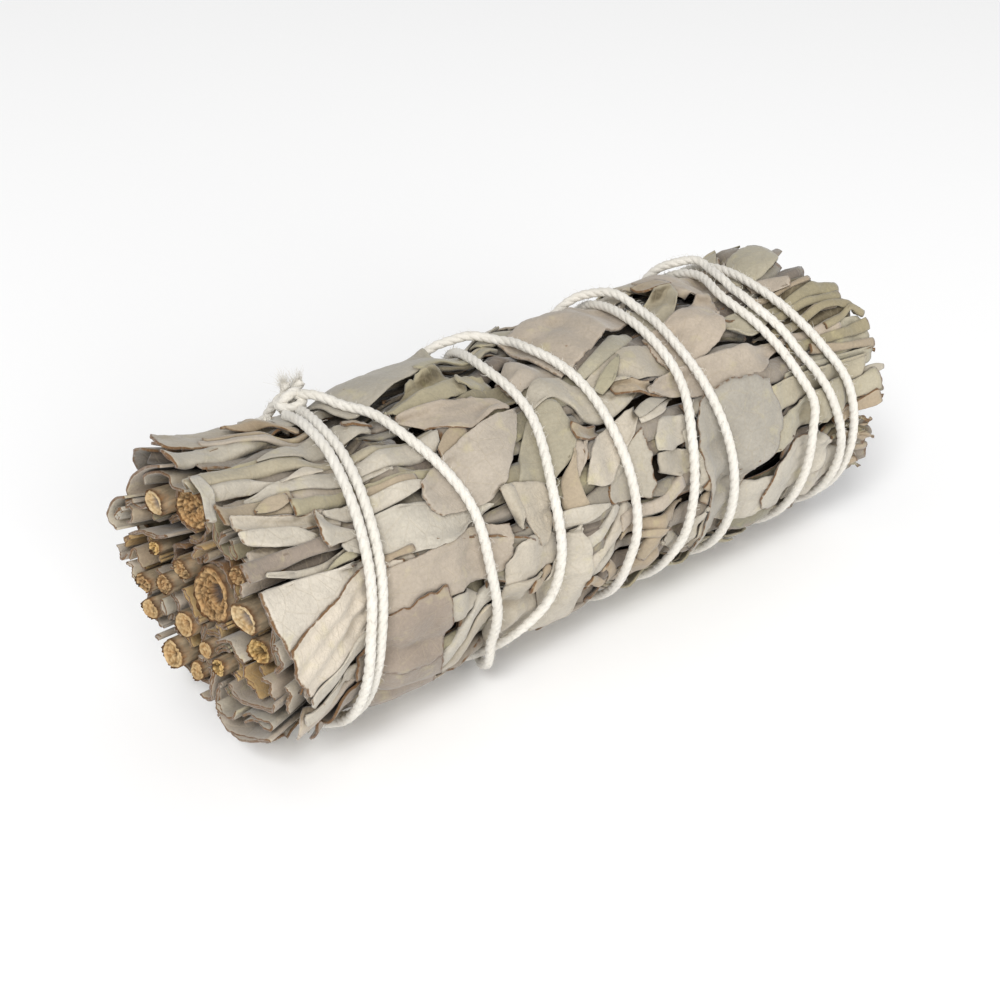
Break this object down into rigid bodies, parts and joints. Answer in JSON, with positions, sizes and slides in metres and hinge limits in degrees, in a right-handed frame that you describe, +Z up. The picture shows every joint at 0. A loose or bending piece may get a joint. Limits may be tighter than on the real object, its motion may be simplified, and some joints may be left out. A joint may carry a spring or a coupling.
{
  "type": "sage smudge stick",
  "caption": "Bundle of dried white sage laid lengthwise and wound with undyed cotton twine, cut woody stems at one end and leaf tips at the other.",
  "frame": {"origin": "on the surface that the bundle rests on, at the middle one of its three flat spots, under the bundle's axis", "axes": "+X along the bundle from the cut stems to the leaf tips, +Z up"},
  "size_m": [0.1011, 0.0417, 0.0421],
  "materials": {
    "sage_leaf": "matt, velvety dry leaf, pale grey-green to taupe",
    "sage_stem": "dry cut wood with thin brown bark",
    "cotton_twine": "soft undyed cotton, loosely twisted"
  },
  "bodies": {
    "root": {"sage_sprig_01": "sage_leaf", "sage_sprig_02": "sage_leaf", "sage_sprig_03": "sage_leaf", "sage_sprig_04": "sage_leaf", "sage_sprig_05": "sage_leaf", "sage_sprig_06": "sage_leaf", "sage_sprig_07": "sage_leaf", "sage_sprig_08": "sage_leaf", "sage_sprig_09": "sage_leaf", "sage_sprig_10": "sage_leaf", "sage_stem_01": "sage_stem", "sage_stem_02": "sage_stem", "sage_stem_03": "sage_stem", "sage_stem_04": "sage_stem", "sage_stem_05": "sage_stem", "sage_stem_06": "sage_stem", "sage_stem_07": "sage_stem", "sage_stem_08": "sage_stem", "sage_stem_09": "sage_stem", "sage_stem_10": "sage_stem", "sage_stem_11": "sage_stem", "sage_stem_12": "sage_stem", "sage_stem_13": "sage_stem", "sage_stem_14": "sage_stem", "sage_stem_15": "sage_stem", "sage_stem_16": "sage_stem", "cotton_twine": "cotton_twine"}
  },
  "joints": []
}
